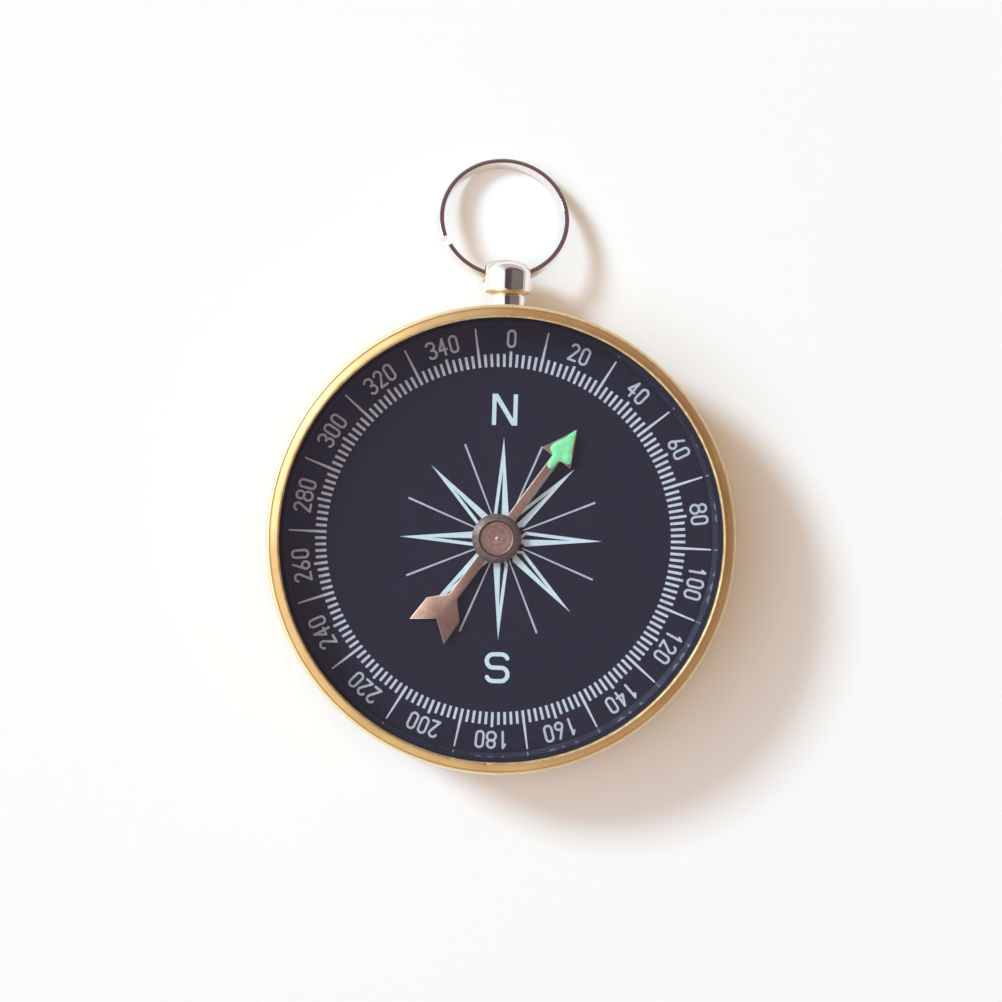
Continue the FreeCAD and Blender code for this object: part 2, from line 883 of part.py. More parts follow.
NODES = {
    "case_body": case_body,
    "bezel_ring": bezel_ring,
    "crystal": crystal,
    "capsule": capsule,
    "foam_ring": foam_ring,
    "dial_plate": dial_plate,
    "degree_ticks": degree_ticks,
    "ten_degree_lines": ten_degree_lines,
    "degree_numerals": degree_numerals,
    "cardinal_letters": cardinal_letters,
    "rose_spikes": rose_spikes,
    "rose_rays": rose_rays,
    "pivot_bush": pivot_bush,
    "pivot_pin": pivot_pin,
    "needle_blade": needle_blade,
    "needle_cap": needle_cap,
    "jewel_cup": jewel_cup,
    "lume_patch": lume_patch,
    "neck_collar": neck_collar,
    "pendant_head": pendant_head,
    "pendant_nut": pendant_nut,
    "jump_ring": jump_ring,
}

os.makedirs("parts", exist_ok=True)
for node, build in NODES.items():
    write(node, build())
print("ring hole at y", round(ring_hole_y, 3), "z", round(neck_z, 3), "radius", round(ring_hole_radius, 3))
print("ring slope", round(ring_slope, 2), "head top y", round(head_top_y, 2), "height", round(bezel_top_z, 2))
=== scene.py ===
# %% [markdown]
# A keychain compass: a gold case, a printed dial under flat glass, a needle on a pin and a neck with a ring.
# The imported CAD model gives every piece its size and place. This lesson dresses it: most pieces keep their
# CAD mesh and get a material, and the few whose charm is finer than the CAD solid are built again in mesh
# code.

# %% Load the compass
import math

import bmesh
import bpy
import numpy as np
from mathutils import Matrix, Vector, noise


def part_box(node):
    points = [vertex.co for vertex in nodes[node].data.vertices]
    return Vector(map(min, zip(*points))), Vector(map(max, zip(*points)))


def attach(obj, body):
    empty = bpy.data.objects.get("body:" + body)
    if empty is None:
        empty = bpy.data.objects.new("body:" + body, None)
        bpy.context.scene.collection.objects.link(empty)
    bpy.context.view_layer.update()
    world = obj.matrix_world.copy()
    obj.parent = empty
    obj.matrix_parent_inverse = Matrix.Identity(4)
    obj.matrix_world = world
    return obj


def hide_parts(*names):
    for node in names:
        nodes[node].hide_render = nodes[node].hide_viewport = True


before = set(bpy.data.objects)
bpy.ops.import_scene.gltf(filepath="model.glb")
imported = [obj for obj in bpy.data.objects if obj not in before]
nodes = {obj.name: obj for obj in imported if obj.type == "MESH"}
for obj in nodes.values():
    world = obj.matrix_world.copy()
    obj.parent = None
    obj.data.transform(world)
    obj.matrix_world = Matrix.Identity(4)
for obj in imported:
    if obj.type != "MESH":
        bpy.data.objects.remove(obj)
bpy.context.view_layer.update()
MM = 0.001

# %% [markdown]
# Everything below is written in millimetres and turned to metres once, where a mesh or a light is made.
# Colours are hex values as a paint card would give them. Blender works in linear light, so one function turns
# them. A second small function adds a node: its settings by name, and its sockets as values or as links.


# %% Colours and nodes
def colour(hex_code):
    """Linear RGBA from an sRGB hex code."""
    shares = [int(hex_code[i:i + 2], 16) / 255 for i in (1, 3, 5)]
    return [s / 12.92 if s <= 0.04045 else ((s + 0.055) / 1.055) ** 2.4 for s in shares] + [1.0]


def add(tree, kind, sockets=None, **settings):
    """Add a node. Each socket is given a value, or the output that it is linked to."""
    node = tree.nodes.new(kind)
    for name, value in settings.items():
        setattr(node, name, value)
    for name, value in (sockets or {}).items():
        if isinstance(value, bpy.types.NodeSocket):
            tree.links.new(value, node.inputs[name])
        else:
            node.inputs[name].default_value = value
    return node


def new_material(name, base, metallic=0.0, roughness=0.5, ior=1.5):
    """A material with one Principled shader, returned with its node tree and that shader."""
    made = bpy.data.materials.new(name)
    made.use_nodes = True
    shader = made.node_tree.nodes["Principled BSDF"]
    shader.inputs["Base Color"].default_value = colour(base)
    shader.inputs["Metallic"].default_value = metallic
    shader.inputs["Roughness"].default_value = roughness
    shader.inputs["IOR"].default_value = ior
    return made, made.node_tree, shader


# The colour sockets of a Mix node share their names with its other kinds, so they go by number
MIX_FACTOR, MIX_A, MIX_B, MIX_RESULT = 0, 6, 7, 2

print("white is", [round(c, 3) for c in colour("#FFFFFF")])

# %% [markdown]
# Most finishes need the same few nodes: noise of a known width, a value moved to another range, two tones
# blended, a sum, and a bump of a known depth. Each gets a function that returns its output, so that a finish
# reads like a recipe.


# %% Parts of a finish
def mottle(tree, width, detail):
    """Noise whose patches are about as wide as a length in metres."""
    place = add(tree, "ShaderNodeTexCoord").outputs["Object"]
    made = add(tree, "ShaderNodeTexNoise", {"Vector": place, "Scale": 1 / width, "Detail": detail})
    return made.outputs["Fac"]


def rings_at(tree, distance, pitch, detail):
    """Noise that depends on a distance alone, with rings about a pitch apart."""
    along = reckon(tree, "DIVIDE", distance, pitch)
    sockets = {"W": along, "Scale": 1, "Detail": detail}
    return add(tree, "ShaderNodeTexNoise", sockets, noise_dimensions="1D").outputs["Fac"]


def reckon(tree, operation, first, second):
    """The result of one sum on two values."""
    return add(tree, "ShaderNodeMath", {0: first, 1: second}, operation=operation).outputs[0]


def remap(tree, value, ends, new_ends=(0, 1), **settings):
    """Move a value from one range to another. It stops at the ends."""
    limits = {"From Min": ends[0], "From Max": ends[1], "To Min": new_ends[0], "To Max": new_ends[1]}
    return add(tree, "ShaderNodeMapRange", {"Value": value, **limits}, **settings).outputs["Result"]


def blend(tree, share, first, second, **settings):
    """Mix two tones, each a hex code, a list or an output."""
    first, second = (colour(tone) if isinstance(tone, str) else tone for tone in (first, second))
    sockets = {MIX_FACTOR: share, MIX_A: first, MIX_B: second}
    return add(tree, "ShaderNodeMix", sockets, data_type="RGBA", **settings).outputs[MIX_RESULT]


def bump(tree, height, depth, strength=1.0):
    """A bump node for a height between none and a depth in metres."""
    return add(tree, "ShaderNodeBump", {"Height": height, "Distance": depth, "Strength": strength})


def feed(tree, shader, outputs):
    """Link outputs to the shader's inputs, by name."""
    for name, output in outputs.items():
        tree.links.new(output, shader.inputs[name])


print("parts of a finish", len([mottle, rings_at, reckon, remap, blend, bump, feed]))

# %% [markdown]
# The photograph looks almost straight down, from 22 centimetres away, a little from the left and from the
# neck's side. The camera is set by where it looks, how far it leans and how far it is rolled. The focal
# length is the one that makes 44 mm of case fill the same share of the frame.

# %% Camera
look_at = Vector((-0.201, 3.652, 9.0)) * MM
camera_distance = 220 * MM
lean_left = math.radians(4.70)
lean_up = math.radians(2.01)
roll = math.radians(2.06)
frame_width_share = 2.342

away = Vector((-math.tan(lean_left), math.tan(lean_up), 1)).normalized()
right = Vector((0, 1, 0)).cross(away).normalized()
up = away.cross(right)
rolled_right = right * math.cos(roll) + up * math.sin(roll)
rolled_up = up * math.cos(roll) - right * math.sin(roll)

camera = bpy.data.objects.new("camera", bpy.data.cameras.new("camera"))
camera.data.sensor_width = 36
camera.data.lens = camera.data.sensor_width * frame_width_share
camera.data.clip_start = 1 * MM
camera.data.clip_end = 5
camera.matrix_world = Matrix((rolled_right, rolled_up, away)).transposed().to_4x4()
camera.location = look_at + away * camera_distance
bpy.context.scene.collection.objects.link(camera)
bpy.context.scene.camera = camera
bpy.context.scene.view_settings.view_transform = "Standard"
print("lens", round(camera.data.lens, 1), "camera at", [round(c / MM, 1) for c in camera.location])

# %% [markdown]
# The compass lies on a plain white sheet. Paper is a matte surface of fine fibres. They are thinner than 0.05
# mm, too fine to show, so a noise 0.25 mm wide gives the sheet a trace of tone and nothing else: the shadow
# is what shows on it. It has no bump, because a mirror shows the far sheet at a grazing angle, where a bump
# turns black.

# %% Floor
floor_half_width = 1500 * MM
floor_drop = 0.02 * MM
fibre_width = 0.25 * MM

paper, paper_tree, paper_shader = new_material("Matte white paper", "#FBFBFA", roughness=0.9)
fibres = mottle(paper_tree, fibre_width, 3)
feed(paper_tree, paper_shader, {"Base Color": blend(paper_tree, fibres, "#FCFCFB", "#FAFAF8")})

floor_mesh = bpy.data.meshes.new("floor")
corner_signs = [(-1, -1), (1, -1), (1, 1), (-1, 1)]
floor_corners = [(x * floor_half_width, y * floor_half_width, -floor_drop) for x, y in corner_signs]
floor_mesh.from_pydata(floor_corners, [], [(0, 1, 2, 3)])
floor_mesh.materials.append(paper)
floor = bpy.data.objects.new("floor", floor_mesh)
bpy.context.scene.collection.objects.link(floor)
print("floor", 2 * floor_half_width, "m wide")

# %% [markdown]
# Three lamps and a room light the sheet. The key is a soft window from the upper left, 36 degrees up, and it
# draws the shadow. A broad one above it softens the shadow's edge, and a warm ceiling lamp straight overhead
# fills it. The room fills the rest. The shares add up to one in each colour, so that a white surface facing
# up renders as white: a colour then looks about as it was written. No lamp is met by rays that went through
# the glass, because the shadow rays have counted its light already. Only the key is mirrored: the room stands
# for the other two.

# %% Lamps
key_direction = Vector((-0.69, 0.42, 0.59))
key_distance = 4000 * MM
key_width = 13
key_share = 0.46
key_tone = "#D0EFFF"
broad_direction = Vector((-0.53, 0.02, 0.85))
broad_distance = 3000 * MM
broad_width = 46
broad_share = 0.29
broad_tone = "#E2ECFF"
ceiling_direction = Vector((0, 0.07, 1))
ceiling_distance = 3000 * MM
ceiling_width = 30
ceiling_share = 0.29
ceiling_tone = "#FFDCB6"
room_fill = "#796E65"


def soft_lamp(name, direction, distance, apparent_width, floor_share, tone):
    """A round lamp, as wide as an angle in degrees, that gives the floor a share of its full white."""
    direction = direction.normalized()
    radius = distance * math.tan(math.radians(apparent_width / 2))
    irradiance = floor_share * math.pi / direction.z
    made = bpy.data.objects.new(name, bpy.data.lights.new(name, "AREA"))
    made.data.shape = "DISK"
    made.data.size = 2 * radius
    made.data.energy = irradiance * math.pi * (distance ** 2 + radius ** 2)
    made.data.color = colour(tone)[:3]
    made.location = direction * distance
    made.rotation_mode = "QUATERNION"
    made.rotation_quaternion = direction.to_track_quat("Z", "Y")
    made.visible_transmission = False
    bpy.context.scene.collection.objects.link(made)
    return made


key = soft_lamp("key window", key_direction, key_distance, key_width, key_share, key_tone)
broad = soft_lamp("broad window", broad_direction, broad_distance, broad_width, broad_share, broad_tone)
ceiling_values = (ceiling_direction, ceiling_distance, ceiling_width, ceiling_share, ceiling_tone)
ceiling = soft_lamp("ceiling lamp", *ceiling_values)
broad.visible_glossy = False
ceiling.visible_glossy = False
print("lamps", [round(lamp.data.energy, 1) for lamp in (key, broad, ceiling)], "W")

# %% [markdown]
# Polished metal shows the room more than the lamps: it glows on the window's side, is grey on the other, and
# dark overhead, where the ceiling gets the least light. A direction is measured by its slopes, which say how
# far it goes aside and along the neck for each step up. In the plane of slopes the dark part is an egg, whose
# far end reaches down to the wall away from the window.

# %% Room
dark_middle = (0.48, 0.35, 0)
dark_reach = (0.80, 1.05, 1)
far_end_stretch = 5.0
dark_edge = (0.92, 1.06)
veil_middle = (0.08, -0.05, 0)
veil_edge = (0.18, 0.28)
bright_side = (-0.92, -0.38, 0)
bright_edge = (-0.2, 0.6)
overhead_edge = (0.15, 0.4)
neck_side_edge = (0.25, 0.7)
lowest_rise = 0.05
window_glow = 1.35
bright_wall = [window_glow * share for share in colour("#EAF8FC")]

world = bpy.data.worlds.new("Soft room")
bpy.context.scene.world = world
world.use_nodes = True
room = world.node_tree
direction = add(room, "ShaderNodeTexCoord").outputs["Generated"]
parts = add(room, "ShaderNodeSeparateXYZ", {"Vector": direction})
rise = reckon(room, "MAXIMUM", parts.outputs["Z"], lowest_rise)
slope_x = reckon(room, "DIVIDE", parts.outputs["X"], rise)
slope_y = reckon(room, "DIVIDE", parts.outputs["Y"], rise)
squeezed = {0: slope_x, 1: 1 / far_end_stretch, 2: dark_middle[0] * (1 - 1 / far_end_stretch)}
far_slope = add(room, "ShaderNodeMath", squeezed, operation="MULTIPLY_ADD")
egg_x = reckon(room, "MINIMUM", slope_x, far_slope.outputs[0])
slopes = add(room, "ShaderNodeCombineXYZ", {0: egg_x, 1: slope_y})
aside = add(room, "ShaderNodeVectorMath", {0: slopes.outputs[0], 1: dark_middle}, operation="SUBTRACT")
reaches = add(room, "ShaderNodeVectorMath", {0: aside.outputs[0], 1: dark_reach}, operation="DIVIDE")
dark_distance = add(room, "ShaderNodeVectorMath", {0: reaches.outputs[0]}, operation="LENGTH")
side = add(room, "ShaderNodeVectorMath", {0: direction, 1: bright_side}, operation="DOT_PRODUCT")
print("dark part reaches", dark_reach[0], "aside and", dark_reach[1], "along the neck for each step up")

# %% [markdown]
# The tones are laid in zones with soft edges. Right overhead the ceiling shows as a dim violet patch, and the
# flat glass mirrors just that: a veil that keeps the dial from being black. Only a perfectly smooth surface
# shows it, which the path calls a singular ray. Rays that light a matte surface get the even fill, and what
# is seen directly, through glass or in a mirror gets the room, as long as no matte surface came before.


# %% Tones of the room
def zone(value, edge, first, second):
    """Pass from the first colour to the second where a value crosses a soft edge, given as its two ends."""
    return blend(room, remap(room, value, edge, interpolation_type="SMOOTHSTEP"), first, second)


walls = zone(side.outputs["Value"], bright_edge, "#C9BDBE", bright_wall)
overhead = zone(slope_x, overhead_edge, "#524752", "#7C706C")
above_neck = zone(slope_y, neck_side_edge, overhead, "#745860")
from_veil = {0: slopes.outputs[0], 1: veil_middle}
veil_distance = add(room, "ShaderNodeVectorMath", from_veil, operation="DISTANCE")
veiled = zone(veil_distance.outputs["Value"], veil_edge, "#878199", above_neck)
rays = add(room, "ShaderNodeLightPath").outputs
ceiling_seen = blend(room, rays["Is Singular Ray"], above_neck, veiled)
seen_room = zone(dark_distance.outputs["Value"], dark_edge, ceiling_seen, walls)

looked_at = reckon(room, "MAXIMUM", rays["Is Camera Ray"], rays["Is Glossy Ray"])
seen = reckon(room, "MAXIMUM", looked_at, rays["Is Transmission Ray"])
# Depths are whole numbers, so a half stands between none and one
no_matte_yet = reckon(room, "LESS_THAN", rays["Diffuse Depth"], 0.5)
shown = reckon(room, "MULTIPLY", seen, no_matte_yet)
feed(room, room.nodes["Background"], {"Color": blend(room, shown, room_fill, seen_room)})
print("room fill", [round(c, 2) for c in colour(room_fill)[:3]])

# %% [markdown]
# Turned pieces are made the way a lathe makes them: a half outline of radius and height is spun about an
# axis. The outline's corners are rounded by short arcs, because no real edge is perfectly sharp, and the
# small round is what catches the light.


# %% Turning
def rounded(points, radii, steps=5):
    """An open outline whose inner corners are rounded by arcs of the given radii."""
    outline = [points[0]]
    for before, corner, after, radius in zip(points, points[1:], points[2:], radii):
        corner = Vector(corner)
        into = (Vector(before) - corner).normalized()
        out = (Vector(after) - corner).normalized()
        half = into.angle(out) / 2
        if radius == 0:
            outline.append(tuple(corner))
            continue
        cut = radius / math.tan(half)
        middle = corner + (into + out).normalized() * radius / math.sin(half)
        start, end = corner + into * cut - middle, corner + out * cut - middle
        sweep = start.angle(end)
        for step in range(steps + 1):
            share = step / steps
            along = start * math.sin((1 - share) * sweep) + end * math.sin(share * sweep)
            outline.append(tuple(middle + along / math.sin(sweep)))
    return outline + [points[-1]]


def turn(name, outline, centre=(0, 0), turns=360, closed=True):
    """Spin a (radius, height) outline in millimetres about a vertical axis."""
    made = bmesh.new()
    rings = []
    for radius, high in outline:
        if radius == 0:
            rings.append([made.verts.new((centre[0] * MM, centre[1] * MM, high * MM))] * turns)
            continue
        ring = []
        for place in range(turns):
            angle = 2 * math.pi * place / turns
            x = centre[0] + radius * math.cos(angle)
            y = centre[1] + radius * math.sin(angle)
            ring.append(made.verts.new((x * MM, y * MM, high * MM)))
        rings.append(ring)
    pairs = list(zip(rings, rings[1:] + rings[:1] if closed else rings[1:]))
    for low_ring, high_ring in pairs:
        for place in range(turns):
            after = (place + 1) % turns
            corners = [low_ring[place], low_ring[after], high_ring[after], high_ring[place]]
            corners = list(dict.fromkeys(corners))
            if len(corners) > 2:
                made.faces.new(corners)
    bmesh.ops.recalc_face_normals(made, faces=made.faces)
    return link(name, made)


def link(name, made, sharp_angle=40):
    """Turn a bmesh into a linked object, smooth except over sharp corners."""
    mesh = bpy.data.meshes.new(name)
    made.to_mesh(mesh)
    made.free()
    mesh.shade_smooth()
    mesh.set_sharp_from_angle(angle=math.radians(sharp_angle))
    piece = bpy.data.objects.new(name, mesh)
    bpy.context.scene.collection.objects.link(piece)
    return piece


def put_on(piece, material):
    """Give a piece one material in every slot."""
    if not piece.data.materials:
        piece.data.materials.append(material)
    for slot in piece.material_slots:
        slot.material = material


print("outline of a test corner", len(rounded([(0, 0), (1, 0), (1, 1)], [0.2])), "points")

# %% [markdown]
# The case and the bezel are aluminium, turned, etched to a satin and anodised gold. Anodising dyes a glassy
# oxide layer, so the metal keeps its shine but takes a warm tint. The dye takes in soft clouds a few
# millimetres wide, and it wears off at the bezel's inner edge, where the pale metal shows. The same pale tone
# is laid along the rim's top as a painted highlight, for the bright line that its rounded edge catches.
# Turning leaves fine rings: they are noise that depends only on the distance from the axis. The real ones are
# about 0.05 mm apart, too fine to show at this size, so they are drawn about 0.3 mm apart and very shallow.

# %% Gold anodised aluminium
turning_pitch = 0.3 * MM
turning_depth = 0.0012 * MM
cloud_width = 5.0 * MM
cloud_range = (0.15, 0.85)
gloss_spread = 0.06
wear_spot = 0.6 * MM
wear_patch = (0.42, 0.68)
least_wear = 0.15
bezel_opening_radius = 20.8 * MM
bezel_edge_worn = 0.25 * MM
rim_inside = 21.63 * MM
rim_outside = 21.76 * MM
# Where the rim's top gets its painted highlight in the pale tone
rim_highlight_from = 9.9 * MM
rim_highlight_to = 10.2 * MM
rim_highlight_share = 0.85


def gold_anodised(name, base, dyed_deeper, wear_and_highlight_tone, roughness):
    """Anodised aluminium with turning rings and tonal clouds, pale where the bezel's edge wears, with a
    painted highlight along the rim's top.
    """
    made, tree, shader = new_material(name, base, metallic=1.0, roughness=roughness)
    place = add(tree, "ShaderNodeTexCoord").outputs["Object"]
    flat = add(tree, "ShaderNodeVectorMath", {0: place, 1: (1, 1, 0)}, operation="MULTIPLY")
    radius = add(tree, "ShaderNodeVectorMath", {0: flat.outputs[0]}, operation="LENGTH").outputs["Value"]
    high = add(tree, "ShaderNodeSeparateXYZ", {"Vector": place}).outputs["Z"]
    rings = rings_at(tree, radius, turning_pitch, 1)
    clouds = mottle(tree, cloud_width, 6)
    near_edge = remap(tree, radius, (bezel_opening_radius + bezel_edge_worn, bezel_opening_radius))
    spotted = remap(tree, mottle(tree, wear_spot, 2), wear_patch, (least_wear, 1))
    edge_wear = reckon(tree, "MULTIPLY", near_edge, spotted)
    # Painted highlight: the rim's top is blended towards the pale tone, for the bright line its rounded edge
    # catches
    on_top = remap(tree, high, (rim_highlight_from, rim_highlight_to))
    outside = remap(tree, radius, (rim_inside, rim_outside), (0, rim_highlight_share))
    wear_and_rim_highlight = reckon(tree, "MAXIMUM", edge_wear, reckon(tree, "MULTIPLY", on_top, outside))
    tone = blend(tree, remap(tree, clouds, cloud_range), base, dyed_deeper)
    tint = blend(tree, wear_and_rim_highlight, tone, wear_and_highlight_tone)
    gloss = remap(tree, clouds, (0, 1), (roughness - gloss_spread, roughness + gloss_spread))
    relief = bump(tree, rings, turning_depth).outputs["Normal"]
    feed(tree, shader, {"Base Color": tint, "Roughness": gloss, "Normal": relief})
    return made


# The satin spreads the window's glare over a third of the band, as on a brushed watch case
# The third tone is the pale metal where the bezel's edge wears, also used as the painted highlight on the rim
gold = gold_anodised("Gold anodised aluminium", "#F4CC8D", "#D69E6D", "#FFE6B4", 0.54)
put_on(nodes["case_body"], gold)
print("gold on the case, rings", round(turning_pitch / MM, 2), "mm apart")

# %% [markdown]
# The bezel is the ring that holds the glass. Its crown is one convex slope that falls towards the rim, and
# its inner side has a narrow bevel that faces the glass and draws a bright line. That edge has been knocked:
# small dents break the line. So it is turned again with its slopes as named angles, and the points near the
# inner edge are pushed down by a noise that is sharp and rare, like knocks.

# %% Bezel
bezel_low, bezel_high = (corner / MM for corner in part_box("bezel_ring"))
crystal_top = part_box("crystal")[1].z / MM
rim_bore = 21.65
joint_gap = 0.012
bezel_radius = rim_bore - joint_gap
bezel_opening = bezel_opening_radius / MM
bezel_bore = 21.25
bevel_width = 0.16
bevel_drop = 0.05
bevel_round = 0.1
crown_start = math.radians(13)
crown_end = math.radians(38)
crown_steps = 14
crown_blend = 3
ledge_round = 0.02
lip_round = 0.03
shoulder_round = 0.04
dent_steepness = 0.2
dent_width = 0.5
dent_reach = 0.3
dent_floor = 0.05
dent_rarity = 0.4
dent_places = Vector((3.1, 0.7, 0))
bezel_turns = 900


def falling_arc(start, run, first_slope, last_slope, steps):
    """Points of an arc that leaves start outwards at one slope downhill and ends at another."""
    bend = run / (math.sin(last_slope) - math.sin(first_slope))
    points = []
    for step in range(steps + 1):
        slope = first_slope + (last_slope - first_slope) * step / steps
        across = bend * (math.sin(slope) - math.sin(first_slope))
        drop = bend * (math.cos(first_slope) - math.cos(slope))
        points.append((start[0] + across, start[1] - drop))
    return points


crown_foot = (bezel_opening + bevel_width, bezel_high.z)
crown = falling_arc(crown_foot, bezel_radius - crown_foot[0], crown_start, crown_end, crown_steps)
inner_corners = [
    (bezel_bore, bezel_low.z),
    (bezel_bore, crystal_top),
    (bezel_opening, crystal_top),
    (bezel_opening, bezel_high.z - bevel_drop),
    crown_foot,
    crown[crown_blend],
]
inner_edge = rounded(inner_corners, [0, ledge_round, lip_round, bevel_round])
outer_corners = [crown[-crown_blend], crown[-1], (bezel_radius, bezel_low.z)]
outer_edge = rounded(outer_corners, [shoulder_round])
bezel_outline = inner_edge[:-1] + crown[crown_blend:-crown_blend] + outer_edge
bezel = turn("bezel_turned", bezel_outline, turns=bezel_turns)
for vertex in bezel.data.vertices:
    place = vertex.co / MM
    radius = math.hypot(place.x, place.y)
    near = max(0.0, 1 - abs(radius - bezel_opening) / dent_reach)
    above = place.z > crystal_top + dent_floor
    knock = max(0.0, noise.noise(place / dent_width + dent_places) - dent_rarity)
    vertex.co.z -= above * near * knock * dent_steepness * MM
put_on(bezel, gold)
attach(bezel, "case")
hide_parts("bezel_ring")
print("bezel", len(bezel.data.vertices), "points, crown falls", round(crown[0][1] - crown[-1][1], 2), "mm")

# %% [markdown]
# The glass is a flat disc of plain window glass. It bends and mirrors what it should, and lets the lamp's
# light pass to the dial: a shadow ray meets a clear shader, which is the usual way to light what lies behind
# glass.

# %% Crystal
glass, glass_tree, glass_shader = new_material("Polished mineral glass", "#FFFFFF", roughness=0.0, ior=1.52)
glass_shader.inputs["Transmission Weight"].default_value = 1.0
clear = add(glass_tree, "ShaderNodeBsdfTransparent", {"Color": colour("#FAFAFA")})
lamp_rays = add(glass_tree, "ShaderNodeLightPath")
pane = add(
    glass_tree,
    "ShaderNodeMixShader",
    {0: lamp_rays.outputs["Is Shadow Ray"], 1: glass_shader.outputs["BSDF"], 2: clear.outputs["BSDF"]},
)
glass_tree.links.new(pane.outputs["Shader"], glass_tree.nodes["Material Output"].inputs["Surface"])
put_on(nodes["crystal"], glass)

# %% [markdown]
# The capsule is ABS, moulded in a polished tool: dark slate, and so smooth that its wall mirrors the numerals
# at a glancing angle. The foam below it is dull and is only seen when the case is opened.

# %% Slate ABS and foam
flow_width = 3 * MM
flow_gloss_range = (0.05, 0.12)
foam_cell = 0.2 * MM
foam_relief = 0.05 * MM

abs_slate, abs_tree, abs_shader = new_material("Polished slate ABS", "#3C3946", roughness=0.1, ior=1.53)
flow_gloss = remap(abs_tree, mottle(abs_tree, flow_width, 2), (0, 1), flow_gloss_range)
feed(abs_tree, abs_shader, {"Roughness": flow_gloss})
put_on(nodes["capsule"], abs_slate)

foam, foam_tree, foam_shader = new_material("Black polyurethane foam", "#1B1B1C", roughness=0.95)
foam_place = add(foam_tree, "ShaderNodeTexCoord").outputs["Object"]
cells = add(foam_tree, "ShaderNodeTexVoronoi", {"Vector": foam_place, "Scale": 1 / foam_cell})
cell_relief = bump(foam_tree, cells.outputs["Distance"], foam_relief, 0.6)
feed(foam_tree, foam_shader, {"Normal": cell_relief.outputs["Normal"]})
put_on(nodes["foam_ring"], foam)
print("capsule and foam done")

# %% [markdown]
# The dial is a steel disc sprayed with matte enamel, slate black with a violet cast. Spray leaves a fine
# orange peel and carries a few specks of dust. Most of the light that the dial seems to give is the veil on
# the glass, so the enamel itself is nearly black.

# %% Dial enamel
peel_width = 0.3 * MM
peel_depth = 0.01 * MM
speck_spacing = 0.9 * MM
speck_edge = (0.05, 0.02)

enamel, enamel_tree, enamel_shader = new_material("Matte slate enamel", "#1E1A24", roughness=0.55)
enamel_place = add(enamel_tree, "ShaderNodeTexCoord").outputs["Object"]
peel = mottle(enamel_tree, peel_width, 3)
dust = add(enamel_tree, "ShaderNodeTexVoronoi", {"Vector": enamel_place, "Scale": 1 / speck_spacing})
speck = remap(enamel_tree, dust.outputs["Distance"], speck_edge)
enamel_tone = blend(enamel_tree, peel, "#1B1721", "#211C27")
dusted = blend(enamel_tree, speck, enamel_tone, "#5A5868")
peel_relief = bump(enamel_tree, peel, peel_depth, 0.5).outputs["Normal"]
enamel_shader.inputs["Specular IOR Level"].default_value = 0.15
feed(enamel_tree, enamel_shader, {"Base Color": dusted, "Normal": peel_relief})
put_on(nodes["dial_plate"], enamel)
print("dial enamel, orange peel", round(peel_width / MM, 2), "mm wide")

# %% [markdown]
# The print is pad-printed ink, pale blue-white and a little uneven where the pad pressed less. A noise mixes
# the full ink with a thinner one. Its real grain is a few hundredths of a millimetre and is drawn 0.18 mm
# wide, so that it shows. Four inks take the tones of the ticks, the numerals, the rose and the rays, since
# thin strokes print weaker than broad ones.


# %% Printed ink
ink_grain = 0.18 * MM
thin_range = (0.35, 0.7)


def printed_ink(name, base, thin):
    """Pad-printed ink: even, with a fine grain where it printed thinner."""
    made, tree, shader = new_material(name, base, roughness=0.5, ior=1.48)
    patches = remap(tree, mottle(tree, ink_grain, 2), thin_range)
    feed(tree, shader, {"Base Color": blend(tree, patches, base, thin)})
    return made


tick_ink = printed_ink("Printed ink, ticks", "#D2CFD8", "#BBB9C2")
numeral_ink = printed_ink("Printed ink, numerals", "#C4C3CB", "#AFAEB6")
rose_ink = printed_ink("Printed ink, rose", "#D2DDE0", "#C2CCD0")
ray_ink = printed_ink("Printed ink, rays", "#BDB8C2", "#ABA6B0")
for name in ("degree_ticks", "ten_degree_lines"):
    put_on(nodes[name], tick_ink)
put_on(nodes["degree_numerals"], numeral_ink)
put_on(nodes["rose_rays"], ray_ink)
for name in ("cardinal_letters", "rose_spikes"):
    put_on(nodes[name], rose_ink)
print("six printed pieces in", len({tick_ink, numeral_ink, rose_ink, ray_ink}), "inks")

# %% [markdown]
# Inside, the bush and the nut are turned brass, yellow and satin. The pin is hardened steel, grey and
# brighter, and the bearing is synthetic ruby, clear and red, as in a watch. They show only where the parts
# are taken apart, and still get their own finish. One function makes every plain metal: faint stains shift
# its tone and its gloss together.


# %% Brass, steel and ruby
stain_gloss = (0.8, 1.3)
haze_width = 0.3 * MM
haze_gloss = (0.03, 0.1)


def turned_metal(name, base, stain, roughness, stain_width):
    """A plain metal with stains that shift its tone and its gloss together."""
    made, tree, shader = new_material(name, base, metallic=1.0, roughness=roughness)
    clouds = mottle(tree, stain_width, 4)
    gloss = remap(tree, clouds, (0, 1), [roughness * share for share in stain_gloss])
    feed(tree, shader, {"Base Color": blend(tree, clouds, base, stain), "Roughness": gloss})
    return made


brass = turned_metal("Turned brass", "#D6B36A", "#B9914B", 0.28, 0.8 * MM)
steel = turned_metal("Hardened steel", "#9A9BA0", "#84858B", 0.18, 0.5 * MM)
for name in ("pivot_bush", "pendant_nut"):
    put_on(nodes[name], brass)
put_on(nodes["pivot_pin"], steel)

ruby, ruby_tree, ruby_shader = new_material("Synthetic ruby", "#C8283F", roughness=0.05, ior=1.76)
ruby_shader.inputs["Transmission Weight"].default_value = 0.6
ruby_gloss = remap(ruby_tree, mottle(ruby_tree, haze_width, 2), (0, 1), haze_gloss)
feed(ruby_tree, ruby_shader, {"Roughness": ruby_gloss})
put_on(nodes["jewel_cup"], ruby)
print("brass on 2 pieces, steel on 1, ruby on 1")

# %% [markdown]
# The needle is a strip of steel, punched from a sheet. Punching rounds its edges, so the outline becomes a
# flat curve with a small bevel: that gives the rounded edge without a boolean or a bevel tool, and the result
# is turned into a mesh, which later steps can bend.


# %% Punched plate
edge_steps = 2
merge_distance = 0.001 * MM


